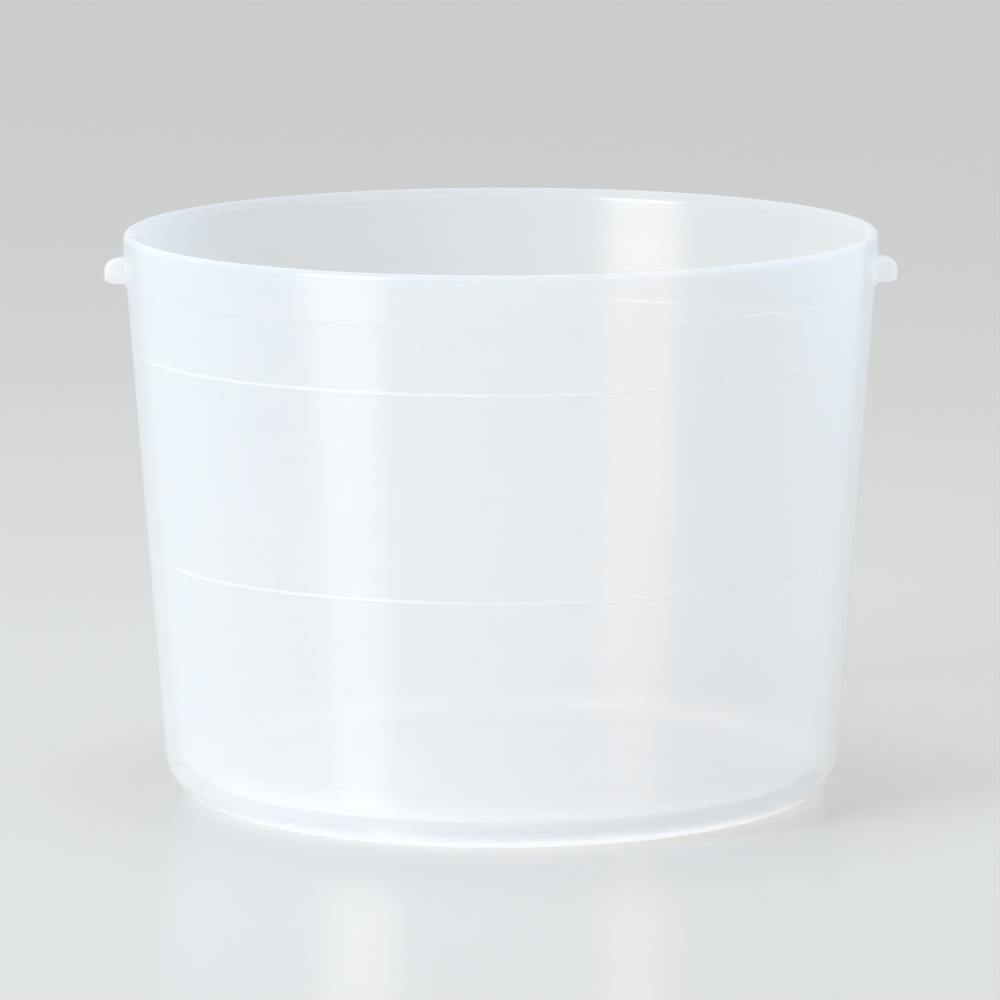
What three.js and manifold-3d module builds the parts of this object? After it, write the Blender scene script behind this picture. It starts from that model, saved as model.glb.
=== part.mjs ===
// Small open tub of natural polypropylene: a moulded shell with a collar, two raised level
// lines and a foot ring, and a lug seated in each side of the collar.
// Millimetres, +Z up. The origin is the middle of the plane that the foot ring stands on,
// and the lugs lie on the X axis.
import * as THREE from "three";
import { mergeVertices } from "three/addons/utils/BufferGeometryUtils.js";
import Module from "manifold-3d";

// Shell
const TUB_HEIGHT = 59.6;
const COLLAR_DIAMETER = 79;
const COLLAR_HEIGHT = 5.25;
const COLLAR_STEP = 0.3; // from the wall out to the collar, at the collar's lower edge
const WALL_DRAFT_DEGREES = 4.15;
const WALL = 1.3; // measured level, from outside to inside
const RIM_OUTER_ROUND = 0.6;
const RIM_INNER_ROUND = 0.25;
const FLOOR = 1.4;
const HEEL_RADIUS = 4.8;
const INNER_HEEL_RADIUS = 1.6;

// Foot ring under the floor
const FOOT_HEIGHT = 1.5;
const FOOT_WIDTH = 1.7;
const FOOT_SLOPE = 0.6; // how far the ring's inner side leans in, for draft

// Raised level lines: the upper one marks a full measure, the lower one half of it
const FULL_LINE_BELOW_RIM = 12.1;
const HALF_LINE_BELOW_RIM = 33.4;
const LINE_WIDTH = 0.6;
const LINE_RISE = 0.15;

// Lugs, half-oval in plan, with a rounded top edge and a flat underside
const LUG_REACH = 2.05;
const LUG_WIDTH = 6.4;
const LUG_HEIGHT = 2.3;
const LUG_TOP_ROUND = 1.3;

// Seat of a lug: a tongue with round ends in a blind socket in the collar
const TONGUE_SHOULDER = 0.4; // of the lug's own section, all round the tongue
const SOCKET_SKIN = 0.5; // wall left behind the socket
const SEAT_CLEARANCE = 0.15;

// Facets
const TURN_SEGMENTS = 96;
const LUG_SEGMENTS = 48;
const ARC_DIVISIONS = 3;
const END_SEGMENTS = 8;

const COLLAR_RADIUS = COLLAR_DIAMETER / 2;
const COLLAR_EDGE = TUB_HEIGHT - COLLAR_HEIGHT;
const FLOOR_TOP = FOOT_HEIGHT + FLOOR;
const DRAFT = THREE.MathUtils.degToRad(WALL_DRAFT_DEGREES);
const QUARTER_TURN = Math.PI / 2;
// A round of radius 1 between the drafted wall and a level plane has its centre this far from the wall.
const ROUND_SETBACK = (1 - Math.sin(DRAFT)) / Math.cos(DRAFT);

const wasm = await Module();
wasm.setup();

/** Closed geometry as a solid that can be cut and joined. */
function toSolid(geometry) {
  geometry.deleteAttribute("normal");
  geometry.deleteAttribute("uv");
  const merged = mergeVertices(geometry);
  const mesh = new wasm.Mesh({
    numProp: 3,
    vertProperties: merged.getAttribute("position").array,
    triVerts: new Uint32Array(merged.index.array),
  });
  return new wasm.Manifold(mesh);
}

/** Solid as geometry again. */
function toGeometry(solid) {
  const mesh = solid.getMesh();
  const geometry = new THREE.BufferGeometry();
  geometry.setAttribute("position", new THREE.BufferAttribute(mesh.vertProperties, 3));
  geometry.setIndex(new THREE.BufferAttribute(mesh.triVerts, 1));
  geometry.computeVertexNormals();
  return geometry;
}

/** Profile of radius against height, turned about the Z axis. */
function turn(profile, segments) {
  const points = profile.getPoints(ARC_DIVISIONS);
  return new THREE.LatheGeometry(points, segments).rotateX(QUARTER_TURN);
}

/** Radius of the drafted wall's outer face at a height. */
function wallRadius(z) {
  return COLLAR_RADIUS - COLLAR_STEP - (COLLAR_EDGE - z) * Math.tan(DRAFT);
}

/** Radius of the wall's inner face at a height: it runs on behind the collar. */
function innerRadius(z) {
  return wallRadius(z) - WALL;
}

/** Adds a raised line, round across, to a profile that climbs the outer wall. */
function addLevelLine(profile, z) {
  const below = z - LINE_WIDTH / 2;
  const above = z + LINE_WIDTH / 2;
  profile.lineTo(wallRadius(below), below);
  profile.quadraticCurveTo(wallRadius(z) + 2 * LINE_RISE, z, wallRadius(above), above);
}

/** Half section of the shell, from under the floor, up the outside and down the inside. */
function shellProfile() {
  const footOuter = wallRadius(0) - HEEL_RADIUS * ROUND_SETBACK;
  const footInner = footOuter - FOOT_WIDTH;
  const innerHeel = innerRadius(FLOOR_TOP) - INNER_HEEL_RADIUS * ROUND_SETBACK;
  const rimOuter = COLLAR_RADIUS - RIM_OUTER_ROUND;
  const rimInner = innerRadius(TUB_HEIGHT) + RIM_INNER_ROUND * ROUND_SETBACK;

  const profile = new THREE.Path();
  profile.moveTo(0, FOOT_HEIGHT);
  profile.lineTo(footInner - FOOT_SLOPE, FOOT_HEIGHT);
  profile.lineTo(footInner, 0);
  profile.lineTo(footOuter, 0);
  profile.absarc(footOuter, HEEL_RADIUS, HEEL_RADIUS, -QUARTER_TURN, -DRAFT, false);
  addLevelLine(profile, TUB_HEIGHT - HALF_LINE_BELOW_RIM);
  addLevelLine(profile, TUB_HEIGHT - FULL_LINE_BELOW_RIM);
  profile.lineTo(wallRadius(COLLAR_EDGE), COLLAR_EDGE);
  profile.lineTo(COLLAR_RADIUS, COLLAR_EDGE);
  profile.absarc(rimOuter, TUB_HEIGHT - RIM_OUTER_ROUND, RIM_OUTER_ROUND, 0, QUARTER_TURN, false);
  profile.absarc(
    rimInner, TUB_HEIGHT - RIM_INNER_ROUND, RIM_INNER_ROUND, QUARTER_TURN, Math.PI - DRAFT, false);
  profile.absarc(
    innerHeel, FLOOR_TOP + INNER_HEEL_RADIUS, INNER_HEEL_RADIUS, -DRAFT, -QUARTER_TURN, true);
  profile.lineTo(0, FLOOR_TOP);
  return profile;
}

/** Bar with round ends across, lying along X between two places, grown all round by a margin. */
function tongueBar(fromX, toX, margin) {
  const height = LUG_HEIGHT - 2 * TONGUE_SHOULDER;
  const halfStraight = (LUG_WIDTH - 2 * TONGUE_SHOULDER - height) / 2;
  const endRadius = height / 2 + margin;
  const section = new THREE.Shape();
  section.absarc(halfStraight, 0, endRadius, -QUARTER_TURN, QUARTER_TURN, false);
  section.absarc(-halfStraight, 0, endRadius, QUARTER_TURN, 3 * QUARTER_TURN, false);
  const bar = new THREE.ExtrudeGeometry(section, {
    depth: toX - fromX,
    bevelEnabled: false,
    curveSegments: END_SEGMENTS,
  });
  // The section's width goes along Y, its height along Z, and the bar along X.
  bar.rotateX(QUARTER_TURN).rotateZ(QUARTER_TURN);
  return bar.translate(fromX, 0, COLLAR_EDGE + LUG_HEIGHT / 2);
}

const SOCKET_FLOOR = innerRadius(COLLAR_EDGE + LUG_HEIGHT) + SOCKET_SKIN;

/** Shell with a socket in each side of its collar. */
function makeTub() {
  const shell = toSolid(turn(shellProfile(), TURN_SEGMENTS));
  const outside = COLLAR_RADIUS + LUG_REACH;
  const rightSocket = tongueBar(SOCKET_FLOOR, outside, SEAT_CLEARANCE);
  const leftSocket = rightSocket.clone().rotateZ(Math.PI);
  return toGeometry(shell.subtract(toSolid(rightSocket)).subtract(toSolid(leftSocket)));
}

/** Lug of the +X side: a round-edged button, drawn out along the rim and cut off by the collar. */
function makeLug() {
  const topEdge = LUG_HEIGHT - LUG_TOP_ROUND;
  const outline = new THREE.Path();
  outline.moveTo(0, 0);
  outline.lineTo(LUG_REACH, 0);
  outline.absarc(LUG_REACH - LUG_TOP_ROUND, topEdge, LUG_TOP_ROUND, 0, QUARTER_TURN, false);
  outline.lineTo(0, LUG_HEIGHT);
  const button = turn(outline, LUG_SEGMENTS);
  button.scale(1, LUG_WIDTH / 2 / LUG_REACH, 1);
  button.translate(COLLAR_RADIUS, 0, COLLAR_EDGE);

  const reserve = COLLAR_RADIUS + SEAT_CLEARANCE;
  const collar = new THREE.CylinderGeometry(reserve, reserve, 2 * TUB_HEIGHT, TURN_SEGMENTS);
  collar.rotateX(QUARTER_TURN);

  const tongueEnd = COLLAR_RADIUS + LUG_REACH / 4;
  const tongue = tongueBar(SOCKET_FLOOR + SEAT_CLEARANCE, tongueEnd, 0);
  return toGeometry(toSolid(button).subtract(toSolid(collar)).add(toSolid(tongue)));
}

const polypropylene = new THREE.MeshStandardMaterial({
  color: 0xe6ecf2,
  roughness: 0.3,
  metalness: 0,
  transparent: true,
  opacity: 0.55,
});
const solidPolypropylene = new THREE.MeshStandardMaterial({
  color: 0xeef3f6,
  roughness: 0.3,
  metalness: 0,
});

const tub = new THREE.Mesh(makeTub(), polypropylene);
tub.name = "tub";

const rightLug = new THREE.Mesh(makeLug(), solidPolypropylene);
rightLug.name = "right_lug";

const leftLug = new THREE.Mesh(makeLug(), solidPolypropylene.clone());
leftLug.name = "left_lug";
leftLug.rotation.z = Math.PI;

const container = new THREE.Group();
container.add(tub, rightLug, leftLug);

export default container;
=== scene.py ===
"""Looks of a small open rice tub of natural polypropylene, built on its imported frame.

Metres, +Z up, in the frame's own axes: the foot ring stands on Z = 0 and the lugs lie on X.
"""
import logging
import math
from dataclasses import dataclass
from enum import Enum, IntEnum

import bmesh
import bpy
from mathutils import Matrix, Vector


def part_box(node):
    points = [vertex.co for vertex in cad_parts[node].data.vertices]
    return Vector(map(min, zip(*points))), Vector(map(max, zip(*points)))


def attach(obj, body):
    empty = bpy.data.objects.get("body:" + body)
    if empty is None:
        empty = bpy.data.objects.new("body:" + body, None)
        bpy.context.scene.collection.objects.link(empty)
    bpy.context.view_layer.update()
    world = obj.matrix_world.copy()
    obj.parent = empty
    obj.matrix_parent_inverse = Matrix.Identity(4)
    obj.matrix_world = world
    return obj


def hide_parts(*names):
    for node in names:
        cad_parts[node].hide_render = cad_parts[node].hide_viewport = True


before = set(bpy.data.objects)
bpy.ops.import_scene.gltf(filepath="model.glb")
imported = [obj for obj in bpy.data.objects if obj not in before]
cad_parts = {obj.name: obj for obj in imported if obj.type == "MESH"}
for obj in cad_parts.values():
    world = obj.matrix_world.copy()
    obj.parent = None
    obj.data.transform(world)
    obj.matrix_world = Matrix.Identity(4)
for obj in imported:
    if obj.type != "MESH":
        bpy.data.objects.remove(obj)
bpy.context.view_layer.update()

log = logging.getLogger("rice_tub")

MM = 0.001
BODY = "root"

WELD_DISTANCE = 0.001 * MM
LEVEL_TOLERANCE = 0.01 * MM  # heights that differ by less are the same level
SHARP_ANGLE = math.radians(40)

SEE_THROUGH_FACES = 24  # faces that a ray may pass straight through
MILK = "milk"  # mesh attribute: the milky share of a thick place
THICK_MILK = 0.4  # milky share above which ever more of the milk's light comes from behind
VEIL_POWER = 3.0  # how late the milk grows towards faces seen edge on
GLOSS_POWER = 5.0  # how late the gloss grows there
CLOUD_SCALE = 45.0
CLOUD_DETAIL = 3.0
SKIN_SCALE = 900.0
SKIN_DETAIL = 2.0
SKIN_DEPTH = 0.05 * MM

Colour = tuple[float, float, float]
Point = tuple[float, float, float]


class Side(Enum):
    """Side of the tub that a lug stands on, with its turn about the tub's axis."""

    RIGHT = 0.0
    LEFT = math.pi

    @property
    def node(self) -> str:
        """Name of the frame's lug on this side."""
        return f"{self.name.lower()}_lug"


class Steps(IntEnum):
    """Straight steps along a round, more of them where it shows more."""

    BEVEL = 1
    FINE = 3
    EDGE = 4
    FOOT = 6
    RIM = 8
    LUG_TOP = 10
    HEEL = 14


@dataclass(frozen=True)
class Corner:
    """Corner of a half section.

    Attributes:
        radius: Distance from the tub's axis.
        height: Height above the table.
        fillet: Radius of the round put on the corner, or 0 for none.
        steps: Straight steps along that round.
    """

    radius: float
    height: float
    fillet: float = 0.0
    steps: Steps = Steps.EDGE


def round_corner(bm: bmesh.types.BMesh, vert: bmesh.types.BMVert, corner: Corner) -> None:
    """Rounds one corner of a wire section.

    Args:
        bm: Mesh that holds the section.
        vert: Vertex at the corner, with an edge on each side.
        corner: Corner with its fillet.
    """
    before, after = ((edge.other_vert(vert).co - vert.co) for edge in vert.link_edges)
    turn = math.pi - before.angle(after)
    bmesh.ops.bevel(
        bm, geom=[vert], offset=corner.fillet * math.tan(turn / 2), offset_type="OFFSET",
        segments=corner.steps, profile=0.5, affect="VERTICES", material=-1)


def draw_section(bm: bmesh.types.BMesh, corners: list[Corner]) -> None:
    """Draws a half section in the XZ plane and rounds its corners.

    Args:
        bm: Empty mesh to draw in.
        corners: Corners in order along the section.
    """
    verts = [bm.verts.new((corner.radius, 0.0, corner.height)) for corner in corners]
    for start, end in zip(verts, verts[1:]):
        bm.edges.new((start, end))
    for vert, corner in zip(verts, corners):
        if corner.fillet:
            round_corner(bm, vert, corner)


def weld(bm: bmesh.types.BMesh) -> None:
    """Merges coincident vertices and turns every face outwards."""
    bmesh.ops.remove_doubles(bm, verts=bm.verts[:], dist=WELD_DISTANCE)
    bmesh.ops.recalc_face_normals(bm, faces=bm.faces[:])


def draw_out(bm: bmesh.types.BMesh, face: bmesh.types.BMFace) -> bmesh.types.BMFace:
    """Draws a face out of its mesh, with a wall round it, for the caller to move.

    Args:
        bm: Mesh that holds the face.
        face: Face to draw out. It is removed.

    Returns:
        The new face, still in the old one's place.
    """
    drawn = bmesh.ops.extrude_face_region(bm, geom=[face])["geom"]
    bmesh.ops.delete(bm, geom=[face], context="FACES_ONLY")
    return next(part for part in drawn if isinstance(part, bmesh.types.BMFace))


def finish_piece(bm: bmesh.types.BMesh, name: str) -> bpy.types.Object:
    """Turns a mesh in work into a smooth piece of the scene.

    Args:
        bm: Closed mesh in the frame's axes. It is freed.
        name: Name of the piece.

    Returns:
        The piece, at the origin, with its place in its mesh.
    """
    mesh = bpy.data.meshes.new(name)
    bm.to_mesh(mesh)
    bm.free()
    mesh.shade_smooth()
    mesh.set_sharp_from_angle(angle=SHARP_ANGLE)
    piece = bpy.data.objects.new(name, mesh)
    bpy.context.scene.collection.objects.link(piece)
    flatten = piece.modifiers.new("even_shading", "WEIGHTED_NORMAL")
    flatten.keep_sharp = True
    return piece


def report(piece: bpy.types.Object) -> None:
    """Logs a finished piece with the number of its faces."""
    log.info("%s: %d faces", piece.name, len(piece.data.polygons))


def moulded_haze_group() -> bpy.types.NodeTree:
    """Builds the uneven milkiness of moulded polypropylene, which shell and lugs share.

    Returns:
        Node group that puts out a colour, a roughness and a surface height.
    """
    group = bpy.data.node_groups.new("Moulded haze", "ShaderNodeTree")
    interface = group.interface
    interface.new_socket("Clear Colour", in_out="INPUT", socket_type="NodeSocketColor")
    interface.new_socket("Milky Colour", in_out="INPUT", socket_type="NodeSocketColor")
    interface.new_socket("Roughness", in_out="INPUT", socket_type="NodeSocketFloat")
    interface.new_socket("Unevenness", in_out="INPUT", socket_type="NodeSocketFloat")
    interface.new_socket("Colour", in_out="OUTPUT", socket_type="NodeSocketColor")
    interface.new_socket("Roughness", in_out="OUTPUT", socket_type="NodeSocketFloat")
    interface.new_socket("Height", in_out="OUTPUT", socket_type="NodeSocketFloat")
    nodes, links = group.nodes, group.links
    given = nodes.new("NodeGroupInput")
    result = nodes.new("NodeGroupOutput")
    place = nodes.new("ShaderNodeTexCoord")

    cloud = nodes.new("ShaderNodeTexNoise")
    cloud.inputs["Scale"].default_value = CLOUD_SCALE
    cloud.inputs["Detail"].default_value = CLOUD_DETAIL
    links.new(place.outputs["Object"], cloud.inputs["Vector"])

    milk = nodes.new("ShaderNodeMix")
    milk.data_type = "RGBA"
    links.new(cloud.outputs["Fac"], milk.inputs["Factor"])
    links.new(given.outputs["Clear Colour"], milk.inputs["A"])
    links.new(given.outputs["Milky Colour"], milk.inputs["B"])
    links.new(milk.outputs["Result"], result.inputs["Colour"])

    swing = nodes.new("ShaderNodeMath")
    swing.operation = "MULTIPLY_ADD"
    links.new(cloud.outputs["Fac"], swing.inputs[0])
    links.new(given.outputs["Unevenness"], swing.inputs[1])
    links.new(given.outputs["Roughness"], swing.inputs[2])
    links.new(swing.outputs["Value"], result.inputs["Roughness"])

    skin = nodes.new("ShaderNodeTexNoise")
    skin.inputs["Scale"].default_value = SKIN_SCALE
    skin.inputs["Detail"].default_value = SKIN_DETAIL
    links.new(place.outputs["Object"], skin.inputs["Vector"])
    links.new(skin.outputs["Fac"], result.inputs["Height"])
    return group


@dataclass(frozen=True)
class Polypropylene:
    """Natural polypropylene: a glossy, see-through plastic that scatters blue light the most.

    Attributes:
        name: Name of the material.
        clear: Colour of the milk where the plastic is clearest.
        milky: Colour of the milk where it is cloudiest.
        passes: Colour that goes straight through a face.
        glows: Colour that is scattered onwards through a face.
        veil: Share of a face that is milky, seen square on.
        edge_veil: The same share, seen edge on.
        gloss: Share of light that a face mirrors, seen square on.
        edge_gloss: The same share, seen edge on.
        onward: Share of the milk's light that comes from behind the face.
        thick_onward: The same share in the thickest places.
        roughness: Least roughness of the moulded skin.
        unevenness: How much the roughness swings above that.
        grain: Strength of the skin's fine grain.
    """

    name: str
    clear: Colour
    milky: Colour
    passes: Colour
    glows: Colour
    veil: float
    edge_veil: float
    gloss: float
    edge_gloss: float
    onward: float
    thick_onward: float
    roughness: float
    unevenness: float
    grain: float

    def material(self, haze: bpy.types.NodeTree) -> bpy.types.Material:
        """Builds the material: milk and a clear film under a glossy skin.

        Args:
            haze: The shared group of uneven milkiness.

        Returns:
            The node material.
        """
        material = bpy.data.materials.new(self.name)
        material.use_nodes = True
        tree = material.node_tree
        nodes, links = tree.nodes, tree.links

        cloud = nodes.new("ShaderNodeGroup")
        cloud.node_tree = haze
        cloud.inputs["Clear Colour"].default_value = (*self.clear, 1.0)
        cloud.inputs["Milky Colour"].default_value = (*self.milky, 1.0)
        cloud.inputs["Roughness"].default_value = self.roughness
        cloud.inputs["Unevenness"].default_value = self.unevenness
        grain = nodes.new("ShaderNodeBump")
        grain.inputs["Strength"].default_value = self.grain
        grain.inputs["Distance"].default_value = SKIN_DEPTH
        links.new(cloud.outputs["Height"], grain.inputs["Height"])
        thick = nodes.new("ShaderNodeAttribute")
        thick.attribute_name = MILK

        near = nodes["Principled BSDF"]
        near.inputs["Specular IOR Level"].default_value = 0.0  # the glossy skin mirrors instead
        links.new(cloud.outputs["Colour"], near.inputs["Base Color"])
        links.new(grain.outputs["Normal"], near.inputs["Normal"])
        milk = self.milk_shader(tree, near.outputs["BSDF"], thick.outputs["Fac"])
        body = nodes.new("ShaderNodeMixShader")
        links.new(self.milky_share(tree, thick.outputs["Fac"]), body.inputs["Fac"])
        links.new(self.film_shader(tree), body.inputs[1])
        links.new(milk, body.inputs[2])

        skin = nodes.new("ShaderNodeBsdfGlossy")
        links.new(cloud.outputs["Roughness"], skin.inputs["Roughness"])
        links.new(grain.outputs["Normal"], skin.inputs["Normal"])
        shine = self.facing_share(tree, self.gloss, self.edge_gloss, GLOSS_POWER)
        surface = nodes.new("ShaderNodeMixShader")
        links.new(shine, surface.inputs["Fac"])
        links.new(body.outputs["Shader"], surface.inputs[1])
        links.new(skin.outputs["BSDF"], surface.inputs[2])
        links.new(surface.outputs["Shader"], nodes["Material Output"].inputs["Surface"])
        return material

    def milk_shader(
            self, tree: bpy.types.NodeTree, near: bpy.types.NodeSocket,
            thick: bpy.types.NodeSocket) -> bpy.types.NodeSocket:
        """Builds the milk, which is lit on its near side and from behind.

        Args:
            tree: Node tree of the material.
            near: Shader of the near side.
            thick: Milky share of a thick place.

        Returns:
            Socket of the shader.
        """
        far = tree.nodes.new("ShaderNodeBsdfTranslucent")
        far.inputs["Color"].default_value = (*self.milky, 1.0)
        onward = tree.nodes.new("ShaderNodeMapRange")
        onward.inputs["From Min"].default_value = THICK_MILK
        onward.inputs["To Min"].default_value = self.onward
        onward.inputs["To Max"].default_value = self.thick_onward
        tree.links.new(thick, onward.inputs["Value"])
        milk = tree.nodes.new("ShaderNodeMixShader")
        tree.links.new(onward.outputs["Result"], milk.inputs["Fac"])
        tree.links.new(near, milk.inputs[1])
        tree.links.new(far.outputs["BSDF"], milk.inputs[2])
        return milk.outputs["Shader"]

    def film_shader(self, tree: bpy.types.NodeTree) -> bpy.types.NodeSocket:
        """Builds the clear film, which passes warm light on straight and scatters the blue.

        Args:
            tree: Node tree of the material.

        Returns:
            Socket of the shader.
        """
        window = tree.nodes.new("ShaderNodeBsdfTransparent")
        window.inputs["Color"].default_value = (*self.passes, 1.0)
        glow = tree.nodes.new("ShaderNodeBsdfTranslucent")
        glow.inputs["Color"].default_value = (*self.glows, 1.0)
        film = tree.nodes.new("ShaderNodeAddShader")
        tree.links.new(window.outputs["BSDF"], film.inputs[0])
        tree.links.new(glow.outputs["BSDF"], film.inputs[1])
        return film.outputs["Shader"]

    def milky_share(
            self, tree: bpy.types.NodeTree, thick: bpy.types.NodeSocket) -> bpy.types.NodeSocket:
        """Gives the share of milk, which thick places raise, but not for the shadows they cast.

        Args:
            tree: Node tree of the material.
            thick: Milky share of a thick place.

        Returns:
            Socket of the share.
        """
        ray = tree.nodes.new("ShaderNodeLightPath")
        lit = tree.nodes.new("ShaderNodeMath")
        lit.operation = "SUBTRACT"
        tree.links.new(thick, lit.inputs[0])
        tree.links.new(ray.outputs["Is Shadow Ray"], lit.inputs[1])
        share = tree.nodes.new("ShaderNodeMath")
        share.operation = "MAXIMUM"
        plain = self.facing_share(tree, self.veil, self.edge_veil, VEIL_POWER)
        tree.links.new(plain, share.inputs[0])
        tree.links.new(lit.outputs["Value"], share.inputs[1])
        return share.outputs["Value"]

    @staticmethod
    def facing_share(
            tree: bpy.types.NodeTree, square_on: float, edge_on: float,
            power: float) -> bpy.types.NodeSocket:
        """Gives a share that grows from faces seen square on to faces seen edge on.

        Args:
            tree: Node tree of the material.
            square_on: Share seen square on.
            edge_on: Share seen edge on.
            power: How late the share grows.

        Returns:
            Socket of the share.
        """
        facing = tree.nodes.new("ShaderNodeLayerWeight")
        late = tree.nodes.new("ShaderNodeMath")
        late.operation = "POWER"
        late.inputs[1].default_value = power
        tree.links.new(facing.outputs["Facing"], late.inputs[0])
        share = tree.nodes.new("ShaderNodeMapRange")
        share.inputs["To Min"].default_value = square_on
        share.inputs["To Max"].default_value = edge_on
        tree.links.new(late.outputs["Value"], share.inputs["Value"])
        return share.outputs["Result"]


SHELL_FINISH = Polypropylene(
    name="shell_polypropylene",
    clear=(0.94, 0.96, 0.99),
    milky=(0.96, 0.975, 1.0),
    passes=(0.98, 0.89, 0.80),
    glows=(0.02, 0.11, 0.20),
    veil=0.18,
    edge_veil=0.44,
    gloss=0.04,
    edge_gloss=0.45,
    onward=0.5,
    thick_onward=0.85,
    roughness=0.16,
    unevenness=0.05,
    grain=0.03,
)
LUG_FINISH = Polypropylene(
    name="lug_polypropylene",
    clear=(0.95, 0.955, 0.96),
    milky=(0.97, 0.975, 0.98),
    passes=(0.96, 0.91, 0.85),
    glows=(0.03, 0.08, 0.14),
    veil=0.5,
    edge_veil=0.85,
    gloss=0.04,
    edge_gloss=0.45,
    onward=0.9,
    thick_onward=0.9,
    roughness=0.4,
    unevenness=0.05,
    grain=0.03,
)


@dataclass(frozen=True)
class ThickPlace:
    """Height at which the shell holds more plastic than its plain wall, and so looks milkier.

    Attributes:
        height: Height above the table.
        milk: Share of the surface that is milky there, from 0 to 1.
    """

    height: float
    milk: float


@dataclass
class TubShell:
    """Moulded shell: foot ring, heel, drafted wall with level lines, collar, rim and floor.

    Attributes:
        collar_radius: Outer radius of the collar.
        height: Height from the table to the rim.
        collar_height: Height of the collar band under the rim.
        collar_step: How far the collar stands out from the wall at its lower edge.
        draft: Lean of the wall.
        wall: Thickness of the wall, measured level.
        rim_outer_round: Round on the rim's outer edge.
        mouth_round: Round where the inner face starts to lean out to the mouth.
        mouth_drop: Drop from the rim to the middle of that round.
        mouth_lean: Lean of the inner face above it.
        floor: Thickness of the floor.
        heel_radius: Round between wall and foot, outside.
        inner_heel_radius: Round that the flat bevel between wall and floor, inside, stands for.
        foot_height: Height of the foot ring under the floor.
        foot_width: Width of the band that the foot ring stands on.
        foot_slope: How far the ring's inner side leans in.
        full_line_below_rim: Drop from the rim to the full line.
        half_line_below_rim: Drop from the rim to the half line.
        line_width: Width of a level line.
        line_rise: How far a level line stands out of the wall.
        edge_round: Round on the small edges.
        turn_steps: Steps of the turn about the axis.
        white_height: Height up to which the foot is all but white.
        clear_height: Height at which the foot has cleared to the heel's haze.
        haze_height: Height up to which the thick heel clouds the wall.
        foot_milk: Milky share at the table.
        white_milk: Milky share at the white height.
        clear_milk: Milky share at the clear height.
        floor_milk: Milky share at the height of the floor's upper face.
        heel_milk: Milky share where the heel meets the wall.
        line_milk: Milky share on the crest of a level line.
    """

    collar_radius: float
    height: float
    collar_height: float = 5.25 * MM
    collar_step: float = 0.3 * MM
    draft: float = math.radians(4.15)
    wall: float = 1.3 * MM
    rim_outer_round: float = 0.6 * MM
    mouth_round: float = 0.8 * MM
    mouth_drop: float = 1.0 * MM
    mouth_lean: float = math.radians(31)
    floor: float = 1.4 * MM
    heel_radius: float = 4.8 * MM
    inner_heel_radius: float = 1.6 * MM
    foot_height: float = 1.5 * MM
    foot_width: float = 1.7 * MM
    foot_slope: float = 0.6 * MM
    full_line_below_rim: float = 12.1 * MM
    half_line_below_rim: float = 33.4 * MM
    line_width: float = 0.6 * MM
    line_rise: float = 0.08 * MM
    edge_round: float = 0.12 * MM
    turn_steps: int = 256
    white_height: float = 0.9 * MM
    clear_height: float = 1.8 * MM
    haze_height: float = 9.0 * MM
    foot_milk: float = 1.0
    white_milk: float = 0.95
    clear_milk: float = 0.47
    floor_milk: float = 0.45
    heel_milk: float = 0.28
    line_milk: float = 0.6

    @property
    def collar_edge(self) -> float:
        """Height of the collar's lower edge."""
        return self.height - self.collar_height

    @property
    def floor_top(self) -> float:
        """Height of the floor's upper face."""
        return self.foot_height + self.floor

    @property
    def foot_radius(self) -> float:
        """Outer radius of the band that the foot ring stands on."""
        return self.wall_radius(0.0) - self.heel_radius * math.tan((math.pi / 2 - self.draft) / 2)

    def wall_radius(self, z: float) -> float:
        """Radius of the wall's outer face at a height."""
        return self.collar_radius - self.collar_step - (self.collar_edge - z) * math.tan(self.draft)

    def inner_radius(self, z: float) -> float:
        """Radius of the wall's inner face at a height."""
        return self.wall_radius(z) - self.wall

    def level_line(self, below_rim: float) -> list[Corner]:
        """Gives the corners of one raised line, from below to above.

        Args:
            below_rim: Drop from the rim to the line.

        Returns:
            The crest, between the two corners where the line leaves the wall.
        """
        middle = self.height - below_rim
        low = middle - self.line_width / 2
        high = middle + self.line_width / 2
        crest_radius = self.wall_radius(middle) + self.line_rise
        return [
            Corner(self.wall_radius(low), low),
            Corner(crest_radius, middle, self.edge_round, Steps.FINE),
            Corner(self.wall_radius(high), high),
        ]

    def section(self) -> list[Corner]:
        """Gives the half section, from under the floor, up the outside and down the inside.

        Returns:
            Corners in order, the first and last on the axis.
        """
        foot_inner = self.foot_radius - self.foot_width
        foot_round = 2 * self.edge_round
        crest_round = self.edge_round / 2
        mouth = self.height - self.mouth_drop
        mouth_radius = self.inner_radius(mouth)
        mouth_flare = self.mouth_drop * math.tan(self.mouth_lean)
        floor_radius = self.inner_radius(self.floor_top)
        return [
            Corner(0.0, self.foot_height),
            Corner(foot_inner - self.foot_slope, self.foot_height, foot_round, Steps.FOOT),
            Corner(foot_inner, 0.0, foot_round, Steps.FOOT),
            Corner(self.wall_radius(0.0), 0.0, self.heel_radius, Steps.HEEL),
            Corner(self.wall_radius(self.haze_height), self.haze_height),
            *self.level_line(self.half_line_below_rim),
            *self.level_line(self.full_line_below_rim),
            Corner(self.wall_radius(self.collar_edge), self.collar_edge, self.edge_round),
            Corner(self.collar_radius, self.collar_edge, self.edge_round),
            Corner(self.collar_radius, self.height, self.rim_outer_round, Steps.RIM),
            Corner(mouth_radius + mouth_flare, self.height, crest_round),
            Corner(mouth_radius, mouth, self.mouth_round, Steps.RIM),
            Corner(floor_radius, self.floor_top, self.inner_heel_radius, Steps.BEVEL),
            Corner(0.0, self.floor_top),
        ]

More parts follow.
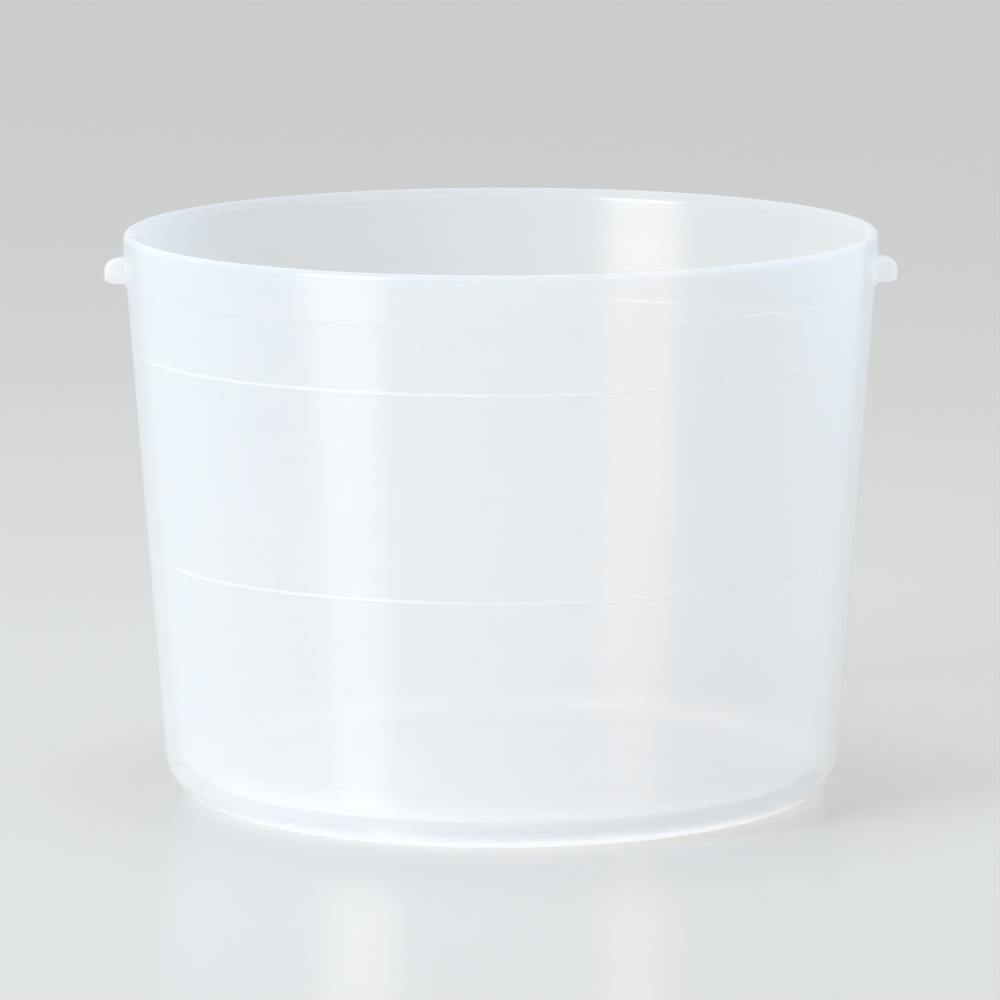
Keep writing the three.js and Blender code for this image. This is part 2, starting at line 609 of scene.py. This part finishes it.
    def thick_places(self) -> list[ThickPlace]:
        """Gives the foot, the heel and the level lines as places with more plastic.

        Returns:
            Places from the table to the rim.
        """
        places = [
            ThickPlace(0.0, self.foot_milk),
            ThickPlace(self.white_height, self.white_milk),
            ThickPlace(self.clear_height, self.clear_milk),
            ThickPlace(self.floor_top, self.floor_milk),
            ThickPlace(self.heel_radius, self.heel_milk),
            ThickPlace(self.haze_height, 0.0),
        ]
        for below_rim in (self.half_line_below_rim, self.full_line_below_rim):
            middle = self.height - below_rim
            places += [
                ThickPlace(middle - self.line_width / 2, 0.0),
                ThickPlace(middle, self.line_milk),
                ThickPlace(middle + self.line_width / 2, 0.0),
            ]
        return [*places, ThickPlace(self.height, 0.0)]

    def milk_at(self, radius: float, height: float) -> float:
        """Gives the milky share of a point of the shell: only its outside has thick places.

        Args:
            radius: Distance from the tub's axis.
            height: Height above the table.

        Returns:
            The share, from 0 to 1.
        """
        outside_from = self.inner_radius(height) + self.wall / 2
        if height < self.floor_top:
            outside_from = self.foot_radius - self.edge_round
        if radius < outside_from:
            return 0.0
        places = self.thick_places()
        for low, high in zip(places, places[1:]):
            if height <= high.height:
                along = (height - low.height) / (high.height - low.height)
                return low.milk + (high.milk - low.milk) * along
        return 0.0

    def build(self) -> bpy.types.Object:
        """Turns the section into the shell.

        Returns:
            The shell, which stands for the frame's tub.
        """
        bm = bmesh.new()
        draw_section(bm, self.section())
        bmesh.ops.spin(
            bm, geom=bm.verts[:] + bm.edges[:], cent=(0.0, 0.0, 0.0), axis=(0.0, 0.0, 1.0),
            angle=math.tau, steps=self.turn_steps, use_merge=True)
        weld(bm)
        milk = bm.verts.layers.float.new(MILK)
        for vert in bm.verts:
            vert[milk] = self.milk_at(vert.co.xy.length, vert.co.z)
        return finish_piece(bm, "tub_shell")

    def dress(self, piece: bpy.types.Object, material: bpy.types.Material) -> None:
        """Gives the shell its finish and ties it to the frame.

        Args:
            piece: The shell.
            material: Its finish.
        """
        piece.data.materials.append(material)
        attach(piece, BODY)
        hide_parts("tub")


@dataclass
class CatchLug:
    """Lug in the collar: half-oval in plan, round-topped, flat below, with a tongue in the collar.

    Attributes:
        side: Side of the tub that it stands on.
        collar_radius: Outer radius of the collar that it is seated in.
        underside: Height of its flat underside.
        reach: How far it stands out of the collar.
        width: Its width along the rim.
        height: Its height.
        top_round: Round on its top edge.
        edge_round: Round on its lower edge.
        shoulder: Step from the lug's section in to the tongue's, all round.
        tongue: Length of the tongue inside the collar.
        seat_gap: Gap between the lug's back and the collar.
        turn_steps: Steps round the oval.
    """

    side: Side
    collar_radius: float
    underside: float
    reach: float
    width: float
    height: float
    top_round: float = 1.3 * MM
    edge_round: float = 0.12 * MM
    shoulder: float = 0.4 * MM
    tongue: float = 0.75 * MM
    seat_gap: float = 0.03 * MM
    turn_steps: int = 64

    def button(self, bm: bmesh.types.BMesh) -> None:
        """Makes the whole round-edged oval, centred on the collar's face.

        Args:
            bm: Empty mesh to build in.
        """
        bmesh.ops.create_circle(bm, cap_ends=True, segments=self.turn_steps, radius=self.reach)
        raised = bmesh.ops.extrude_face_region(bm, geom=bm.faces[:])["geom"]
        top = [part for part in raised if isinstance(part, bmesh.types.BMVert)]
        bmesh.ops.translate(bm, vec=(0.0, 0.0, self.height), verts=top)
        self.round_edges(bm, self.height, self.top_round, Steps.LUG_TOP)
        self.round_edges(bm, 0.0, self.edge_round, Steps.FINE)
        bmesh.ops.scale(bm, vec=(1.0, self.width / 2 / self.reach, 1.0), verts=bm.verts[:])

    def round_edges(self, bm: bmesh.types.BMesh, level: float, radius: float, steps: Steps) -> None:
        """Rounds the button's edge at one level.

        Args:
            bm: Mesh that holds the button.
            level: Height of the edge above the underside.
            radius: Radius of the round.
            steps: Straight steps along the round.
        """
        edges = [
            edge for edge in bm.edges
            if all(abs(vert.co.z - level) < LEVEL_TOLERANCE for vert in edge.verts)
        ]
        bmesh.ops.bevel(
            bm, geom=edges, offset=radius, offset_type="OFFSET", segments=steps,
            profile=0.5, affect="EDGES", material=-1, clamp_overlap=True)

    def seat(self, verts: list[bmesh.types.BMVert]) -> None:
        """Moves vertices of the lug's back on to the collar's curve.

        Args:
            verts: Vertices to move.
        """
        for vert in verts:
            curve = math.sqrt((self.collar_radius + self.seat_gap) ** 2 - vert.co.y ** 2)
            vert.co.x = curve - self.collar_radius

    def cut_back(self, bm: bmesh.types.BMesh) -> bmesh.types.BMFace:
        """Cuts the button along the collar and closes it there.

        Args:
            bm: Mesh that holds the button.

        Returns:
            The face that lies against the collar.
        """
        whole = bm.verts[:] + bm.edges[:] + bm.faces[:]
        cut = bmesh.ops.bisect_plane(
            bm, geom=whole, plane_co=(-self.seat_gap, 0.0, 0.0), plane_no=(1.0, 0.0, 0.0),
            clear_inner=True)
        rim = [part for part in cut["geom_cut"] if isinstance(part, bmesh.types.BMEdge)]
        back = bmesh.ops.contextual_create(bm, geom=rim)["faces"][0]
        self.seat(back.verts[:])
        return back

    def draw_tongue(self, bm: bmesh.types.BMesh, back: bmesh.types.BMFace) -> None:
        """Steps the back in by the shoulder and draws the tongue out of it.

        Args:
            bm: Mesh that holds the cut button.
            back: Its face against the collar.
        """
        root = draw_out(bm, back)
        shrink = (1.0, 1.0 - 2 * self.shoulder / self.width, 1.0 - 2 * self.shoulder / self.height)
        middle = Matrix.Translation((0.0, 0.0, -self.height / 2))
        bmesh.ops.scale(bm, vec=shrink, space=middle, verts=root.verts[:])
        self.seat(root.verts[:])
        end = draw_out(bm, root)
        bmesh.ops.translate(bm, vec=(-self.tongue, 0.0, 0.0), verts=end.verts[:])

    def build(self) -> bpy.types.Object:
        """Makes the lug in its place.

        Returns:
            The lug, which stands for the frame's lug on its side.
        """
        bm = bmesh.new()
        self.button(bm)
        self.draw_tongue(bm, self.cut_back(bm))
        place = Matrix.Translation((self.collar_radius, 0.0, self.underside))
        turn = Matrix.Rotation(self.side.value, 4, "Z")
        bmesh.ops.transform(bm, matrix=turn @ place, verts=bm.verts[:])
        weld(bm)
        return finish_piece(bm, f"{self.side.name.lower()}_catch_lug")

    def dress(self, piece: bpy.types.Object, material: bpy.types.Material) -> None:
        """Gives the lug its finish and ties it to the frame.

        Args:
            piece: The lug.
            material: Its finish.
        """
        piece.data.materials.append(material)
        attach(piece, BODY)
        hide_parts(self.side.node)


@dataclass(frozen=True)
class Softbox:
    """Rectangular studio lamp that faces a point.

    Attributes:
        name: Name of the lamp.
        place: Its middle.
        target: Point that it faces.
        width: Its width.
        tall: Its height.
        watts: Its power.
        colour: Its colour.
        mirrored: Whether glossy surfaces show it.
    """

    name: str
    place: Point
    target: Point
    width: float
    tall: float
    watts: float
    colour: Colour
    mirrored: bool = True

    def build(self) -> None:
        """Hangs the lamp."""
        data = bpy.data.lights.new(self.name, "AREA")
        data.shape = "RECTANGLE"
        data.size = self.width
        data.size_y = self.tall
        data.energy = self.watts
        data.color = self.colour
        lamp = bpy.data.objects.new(self.name, data)
        aim = Vector(self.target) - Vector(self.place)
        lamp.location = self.place
        lamp.rotation_euler = aim.to_track_quat("-Z", "Y").to_euler()
        lamp.visible_camera = False
        lamp.visible_glossy = self.mirrored
        bpy.context.scene.collection.objects.link(lamp)


KEY_LAMP = Softbox(
    name="key_softbox",
    place=(-0.68, -0.60, 0.50),
    target=(0.0, 0.0, 0.05),
    width=0.42,
    tall=0.70,
    watts=7.0,
    colour=(0.81, 0.91, 1.0),
)
CORE_LAMP = Softbox(
    name="key_softbox_core",
    place=(-0.62, -0.55, 0.30),
    target=(0.0, 0.0, 0.03),
    width=0.26,
    tall=0.30,
    watts=1.75,
    colour=(1.0, 0.93, 0.86),
)
STRIP_LAMP = Softbox(
    name="low_strip",
    place=(-0.64, -0.57, 0.10),
    target=(0.0, 0.0, 0.05),
    width=0.40,
    tall=0.20,
    watts=1.25,
    colour=(1.0, 0.97, 0.93),
)
TOP_LAMP = Softbox(
    name="top_softbox",
    place=(0.0, 0.0, 0.45),
    target=(0.0, 0.0, 0.0),
    width=0.3,
    tall=0.3,
    watts=1.35,
    colour=(0.97, 0.985, 1.0),
    mirrored=False,
)
FILL_LAMP = Softbox(
    name="fill_softbox",
    place=(0.62, -0.62, 0.45),
    target=(0.0, 0.0, 0.03),
    width=0.6,
    tall=0.6,
    watts=0.4,
    colour=(1.0, 0.96, 0.90),
)


@dataclass(frozen=True)
class Studio:
    """Pale floor, soft light and the camera.

    Attributes:
        floor_radius: Radius of the round floor.
        floor_steps: Straight steps round its edge.
        floor_drop: Hair's breadth that it lies under the foot, so that the two faces stay apart.
        floor_colour: Colour of the floor where it is darkest.
        floor_pale: Its colour where it is palest.
        floor_clouds: Scale of the soft clouds between the two.
        floor_roughness: Roughness of its sheen.
        sky_colour: Colour of the light from all round.
        horizon: Strength of that light at the horizon and below.
        zenith: Strength of that light overhead.
        camera_place: Place of the camera.
        camera_pitch: How far it looks down, in degrees.
        camera_roll: Its turn about its own axis, in degrees.
        camera_clip: Nearest distance that it shows.
        lens: Focal length in millimetres, for a sensor as wide as the picture.
        sensor: Width of that sensor in millimetres.
    """

    floor_radius: float = 4.0
    floor_steps: int = 128
    floor_drop: float = 0.03 * MM
    floor_colour: Colour = (0.452, 0.454, 0.453)
    floor_pale: Colour = (0.458, 0.460, 0.459)
    floor_clouds: float = 12.0
    floor_roughness: float = 0.18
    sky_colour: Colour = (0.985, 1.0, 0.99)
    horizon: float = 0.92
    zenith: float = 0.50
    camera_place: Point = (-0.00015, -0.7607, 0.1499)
    camera_pitch: float = 8.889
    camera_roll: float = -0.14
    camera_clip: float = 0.01
    lens: float = 263.2
    sensor: float = 36.0

    def floor_material(self) -> bpy.types.Material:
        """Builds the floor's finish: a plain pale tone with soft clouds and a sheen.

        Returns:
            The node material.
        """
        material = bpy.data.materials.new("studio_floor")
        material.use_nodes = True
        nodes, links = material.node_tree.nodes, material.node_tree.links
        shader = nodes["Principled BSDF"]
        shader.inputs["Roughness"].default_value = self.floor_roughness
        place = nodes.new("ShaderNodeTexCoord")
        cloud = nodes.new("ShaderNodeTexNoise")
        cloud.inputs["Scale"].default_value = self.floor_clouds
        links.new(place.outputs["Object"], cloud.inputs["Vector"])
        tone = nodes.new("ShaderNodeMix")
        tone.data_type = "RGBA"
        tone.inputs["A"].default_value = (*self.floor_colour, 1.0)
        tone.inputs["B"].default_value = (*self.floor_pale, 1.0)
        links.new(cloud.outputs["Fac"], tone.inputs["Factor"])
        links.new(tone.outputs["Result"], shader.inputs["Base Color"])
        return material

    def lay_floor(self) -> None:
        """Lays the floor."""
        bm = bmesh.new()
        bmesh.ops.create_circle(
            bm, cap_ends=True, segments=self.floor_steps, radius=self.floor_radius)
        bmesh.ops.translate(bm, vec=(0.0, 0.0, -self.floor_drop), verts=bm.verts[:])
        mesh = bpy.data.meshes.new("studio_floor")
        bm.to_mesh(mesh)
        bm.free()
        mesh.materials.append(self.floor_material())
        floor = bpy.data.objects.new("studio_floor", mesh)
        bpy.context.scene.collection.objects.link(floor)

    def light(self) -> None:
        """Sets the light from all round, which is weaker overhead, and hangs the lamps."""
        world = bpy.data.worlds.new("studio_sky")
        world.use_nodes = True
        nodes, links = world.node_tree.nodes, world.node_tree.links
        sky = nodes["Background"]
        sky.inputs["Color"].default_value = (*self.sky_colour, 1.0)
        towards = nodes.new("ShaderNodeTexCoord")
        apart = nodes.new("ShaderNodeSeparateXYZ")
        links.new(towards.outputs["Generated"], apart.inputs["Vector"])
        rise = nodes.new("ShaderNodeMapRange")
        rise.inputs["To Min"].default_value = self.horizon
        rise.inputs["To Max"].default_value = self.zenith
        links.new(apart.outputs["Z"], rise.inputs["Value"])
        links.new(rise.outputs["Result"], sky.inputs["Strength"])
        bpy.context.scene.world = world
        for lamp in (KEY_LAMP, CORE_LAMP, STRIP_LAMP, TOP_LAMP, FILL_LAMP):
            lamp.build()

    def set_camera(self) -> None:
        """Places the camera and makes it the scene's own."""
        data = bpy.data.cameras.new("photo_camera")
        data.lens = self.lens
        data.sensor_width = self.sensor
        data.clip_start = self.camera_clip
        camera = bpy.data.objects.new("photo_camera", data)
        tilt = Matrix.Rotation(math.radians(90 - self.camera_pitch), 4, "X")
        roll = Matrix.Rotation(math.radians(self.camera_roll), 4, "Z")
        camera.matrix_world = Matrix.Translation(self.camera_place) @ tilt @ roll
        bpy.context.scene.collection.objects.link(camera)
        bpy.context.scene.camera = camera


def main() -> None:
    """Builds the tub, its lugs and the studio."""
    logging.basicConfig(level=logging.INFO, format="%(name)s: %(message)s")
    scene = bpy.context.scene
    scene.view_settings.view_transform = "Standard"
    scene.cycles.transparent_max_bounces = SEE_THROUGH_FACES

    haze = moulded_haze_group()
    shell_finish = SHELL_FINISH.material(haze)
    lug_finish = LUG_FINISH.material(haze)

    _, shell_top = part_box("tub")
    shell = TubShell(collar_radius=shell_top.x, height=shell_top.z)
    piece = shell.build()
    shell.dress(piece, shell_finish)
    report(piece)

    for side in Side:
        low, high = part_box(side.node)
        reach = max(high.x, -low.x) - shell.collar_radius
        lug = CatchLug(
            side=side, collar_radius=shell.collar_radius, underside=low.z,
            reach=reach, width=high.y - low.y, height=high.z - low.z)
        piece = lug.build()
        lug.dress(piece, lug_finish)
        report(piece)

    studio = Studio()
    studio.lay_floor()
    studio.light()
    studio.set_camera()


if __name__ == "__main__":
    main()
